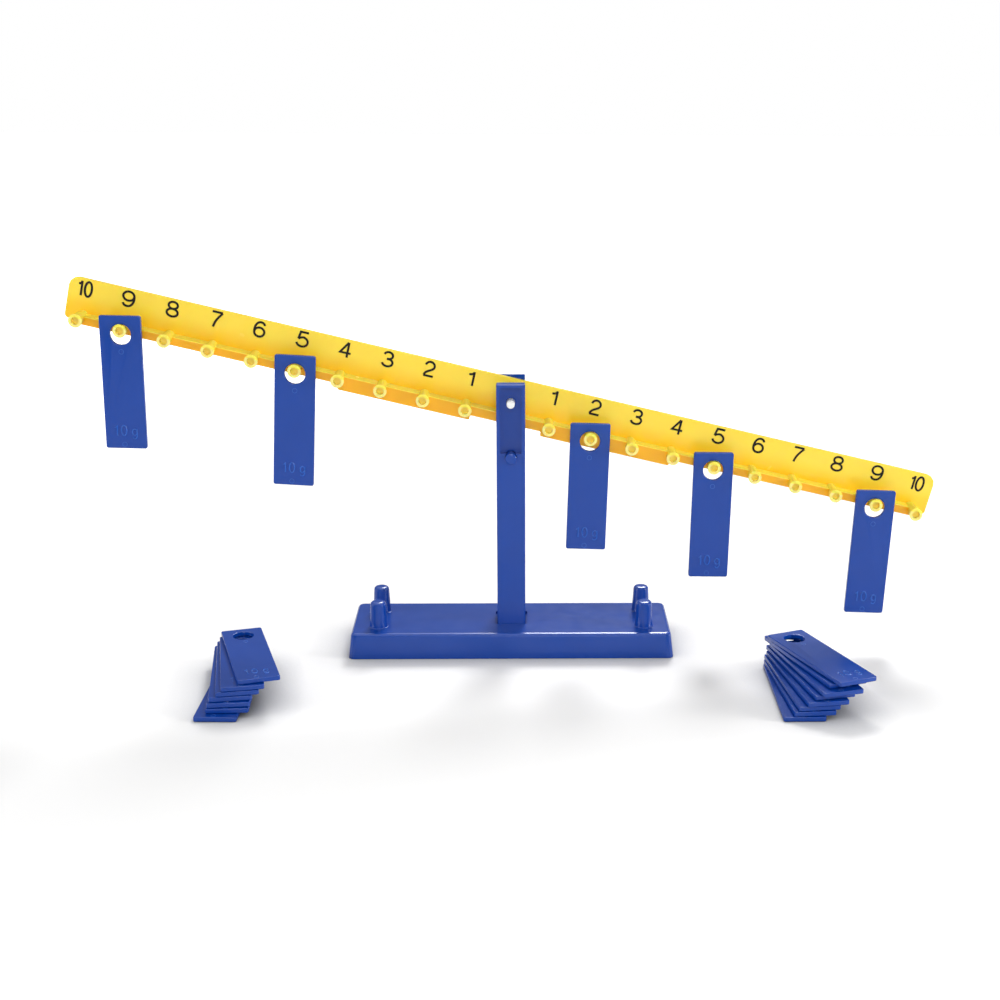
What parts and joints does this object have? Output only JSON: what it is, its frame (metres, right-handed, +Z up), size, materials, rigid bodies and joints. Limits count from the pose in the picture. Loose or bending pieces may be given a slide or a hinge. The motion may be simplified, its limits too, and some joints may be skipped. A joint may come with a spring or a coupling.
{
  "type": "math balance",
  "caption": "Classroom math balance: a numbered beam with pegs rocks on an upright in a long base, with slotted-on weights.",
  "frame": {"origin": "centre of the base's underside, on the surface that it stands on", "axes": "+X along the base towards the right end of the beam, +Y away from the numbered side, +Z up"},
  "size_m": [0.648, 0.1894, 0.282],
  "materials": {
    "blue_plastic": "moulded, glossy",
    "yellow_plastic": "moulded, glossy",
    "white_plastic": "satin"
  },
  "bodies": {
    "stand": {"base": "blue_plastic", "upright": "blue_plastic", "pivot_pin": "white_plastic", "lower_pin": "blue_plastic"},
    "beam": {"beam": "yellow_plastic"},
    "zero_adjuster_left": {"zero_adjuster_left": "yellow_plastic"},
    "zero_adjuster_right": {"zero_adjuster_right": "yellow_plastic"},
    "weight_left_9": {"weight_left_9": "blue_plastic"},
    "weight_left_5": {"weight_left_5": "blue_plastic"},
    "weight_right_2": {"weight_right_2": "blue_plastic"},
    "weight_right_5": {"weight_right_5": "blue_plastic"},
    "weight_right_9": {"weight_right_9": "blue_plastic"},
    "stack_left_1": {"stack_left_1": "blue_plastic"},
    "stack_left_2": {"stack_left_2": "blue_plastic"},
    "stack_left_3": {"stack_left_3": "blue_plastic"},
    "stack_left_4": {"stack_left_4": "blue_plastic"},
    "stack_left_5": {"stack_left_5": "blue_plastic"},
    "stack_left_6": {"stack_left_6": "blue_plastic"},
    "stack_left_7": {"stack_left_7": "blue_plastic"},
    "stack_right_1": {"stack_right_1": "blue_plastic"},
    "stack_right_2": {"stack_right_2": "blue_plastic"},
    "stack_right_3": {"stack_right_3": "blue_plastic"},
    "stack_right_4": {"stack_right_4": "blue_plastic"},
    "stack_right_5": {"stack_right_5": "blue_plastic"},
    "stack_right_6": {"stack_right_6": "blue_plastic"},
    "stack_right_7": {"stack_right_7": "blue_plastic"},
    "stack_right_8": {"stack_right_8": "blue_plastic"}
  },
  "joints": [
    {"name": "beam_rock", "type": "hinge", "parent": "stand", "child": "beam", "pos_m": [0, 0, 0.1928], "axis": [0, -1, 0], "range_deg": [0, 26.6]},
    {"name": "zero_adjuster_left_slide", "type": "slide", "parent": "beam", "child": "zero_adjuster_left", "axis": [0.9732, 0, -0.23], "range_m": [-0.041, 0.041]},
    {"name": "zero_adjuster_right_slide", "type": "slide", "parent": "beam", "child": "zero_adjuster_right", "axis": [0.9732, 0, -0.23], "range_m": [-0.041, 0.041]},
    {"name": "weight_left_9_swing", "type": "hinge", "parent": "beam", "child": "weight_left_9", "pos_m": [-0.28087, -0.01131, 0.24676], "axis": [0, -1, 0], "range_deg": [-59.9, 36.1]},
    {"name": "weight_left_5_swing", "type": "hinge", "parent": "beam", "child": "weight_left_5", "pos_m": [-0.15728, -0.00833, 0.21754], "axis": [0, -1, 0], "range_deg": [-57.9, 38.1]},
    {"name": "weight_right_2_swing", "type": "hinge", "parent": "beam", "child": "weight_right_2", "pos_m": [0.05901, -0.0074, 0.16642], "axis": [0, -1, 0], "range_deg": [-21.2, 36.3]},
    {"name": "weight_right_5_swing", "type": "hinge", "parent": "beam", "child": "weight_right_5", "pos_m": [0.15171, -0.0091, 0.1445], "axis": [0, -1, 0], "range_deg": [-48.5, 35.4]},
    {"name": "weight_right_9_swing", "type": "hinge", "parent": "beam", "child": "weight_right_9", "pos_m": [0.2753, -0.01075, 0.11529], "axis": [0, -1, 0], "range_deg": [-59.3, 36.7]},
    {"name": "stack_left_1_lift", "type": "slide", "parent": "stand", "child": "stack_left_1", "axis": [0, 0, 1], "range_m": [0, 0.04]},
    {"name": "stack_left_2_lift", "type": "slide", "parent": "stack_left_1", "child": "stack_left_2", "axis": [0, 0, 1], "range_m": [0, 0.04]},
    {"name": "stack_left_3_lift", "type": "slide", "parent": "stack_left_2", "child": "stack_left_3", "axis": [0, 0, 1], "range_m": [0, 0.04]},
    {"name": "stack_left_4_lift", "type": "slide", "parent": "stack_left_3", "child": "stack_left_4", "axis": [0, 0, 1], "range_m": [0, 0.04]},
    {"name": "stack_left_5_lift", "type": "slide", "parent": "stack_left_4", "child": "stack_left_5", "axis": [0, 0, 1], "range_m": [0, 0.04]},
    {"name": "stack_left_6_lift", "type": "slide", "parent": "stack_left_5", "child": "stack_left_6", "axis": [0, 0, 1], "range_m": [0, 0.04]},
    {"name": "stack_left_7_lift", "type": "slide", "parent": "stack_left_6", "child": "stack_left_7", "axis": [0, 0, 1], "range_m": [0, 0.04]},
    {"name": "stack_right_1_lift", "type": "slide", "parent": "stand", "child": "stack_right_1", "axis": [0, 0, 1], "range_m": [0, 0.04]},
    {"name": "stack_right_2_lift", "type": "slide", "parent": "stack_right_1", "child": "stack_right_2", "axis": [0, 0, 1], "range_m": [0, 0.04]},
    {"name": "stack_right_3_lift", "type": "slide", "parent": "stack_right_2", "child": "stack_right_3", "axis": [0, 0, 1], "range_m": [0, 0.04]},
    {"name": "stack_right_4_lift", "type": "slide", "parent": "stack_right_3", "child": "stack_right_4", "axis": [0, 0, 1], "range_m": [0, 0.04]},
    {"name": "stack_right_5_lift", "type": "slide", "parent": "stack_right_4", "child": "stack_right_5", "axis": [0, 0, 1], "range_m": [0, 0.04]},
    {"name": "stack_right_6_lift", "type": "slide", "parent": "stack_right_5", "child": "stack_right_6", "axis": [0, 0, 1], "range_m": [0, 0.04]},
    {"name": "stack_right_7_lift", "type": "slide", "parent": "stack_right_6", "child": "stack_right_7", "axis": [0, 0, 1], "range_m": [0, 0.04]},
    {"name": "stack_right_8_lift", "type": "slide", "parent": "stack_right_7", "child": "stack_right_8", "axis": [0, 0, 1], "range_m": [0, 0.04]}
  ]
}
